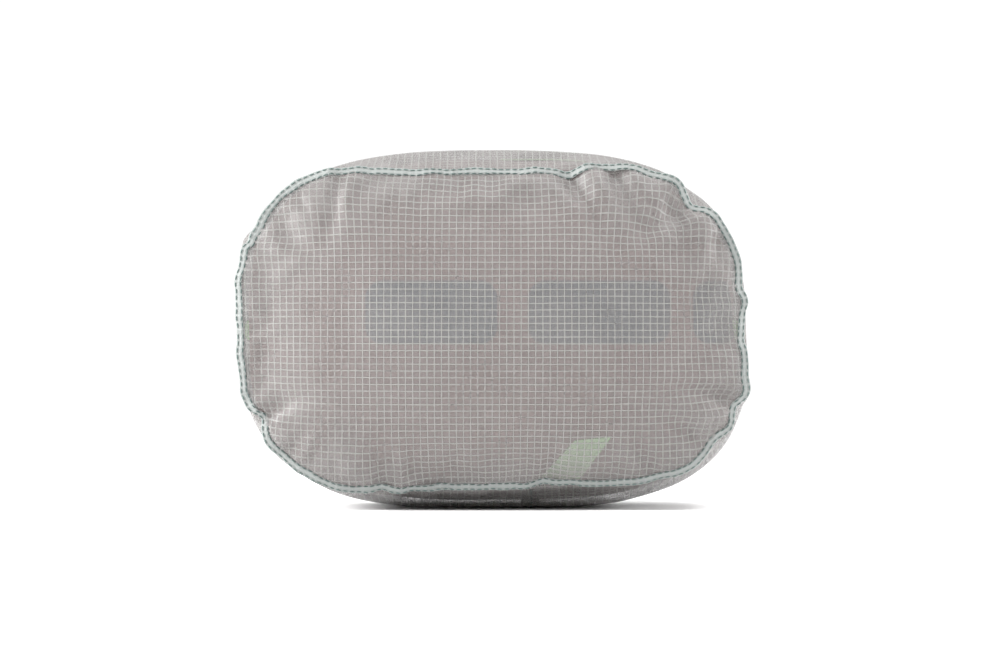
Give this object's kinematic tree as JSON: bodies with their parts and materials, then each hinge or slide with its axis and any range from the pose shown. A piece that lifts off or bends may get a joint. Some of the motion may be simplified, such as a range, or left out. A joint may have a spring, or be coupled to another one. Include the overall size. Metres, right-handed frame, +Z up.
{
  "type": "camp pillow",
  "caption": "Camp pillow folded once and packed in an oval-based translucent ripstop stuff sack with a gathered mouth.",
  "frame": {"origin": "bottom centre of the sack's box, on the surface that it lies on", "axes": "+X to the right across the base panel, +Y from the base panel to the gathered mouth, +Z up"},
  "size_m": [0.2041, 0.164, 0.1441],
  "materials": {
    "sack_cloth": "translucent uncoated ripstop nylon with a pale square grid",
    "seam_cloth": "several layers of the same ripstop nylon, close to opaque",
    "sack_thread": "matt polyester sewing thread",
    "eyelet_metal": "satin grey",
    "pillow_front": "brushed knit, dusty taupe, with a plain slate print",
    "pillow_back": "pale lime woven cloth",
    "filler_cotton": "twisted cotton cord",
    "liner_cloth": "plain white ticking",
    "pillow_filling": "loose synthetic filling",
    "label_satin": "blank white satin"
  },
  "bodies": {
    "root": {"base_panel": "sack_cloth", "side_wall": "sack_cloth", "base_seam_allowance": "seam_cloth", "wall_seam_allowance": "seam_cloth", "mouth_hem": "seam_cloth", "eyelet_patch": "seam_cloth", "base_seam_thread_front": "sack_thread", "base_seam_thread_back": "sack_thread", "wall_seam_thread": "sack_thread", "mouth_hem_thread": "sack_thread", "cord_eyelet": "eyelet_metal", "eyelet_washer": "eyelet_metal", "pillow_front_cover": "pillow_front", "pillow_back_cover": "pillow_back", "piping_sleeve": "pillow_back", "piping_filler_cord": "filler_cotton", "pillow_liner": "liner_cloth", "pillow_fill": "pillow_filling", "care_label": "label_satin"}
  },
  "joints": []
}
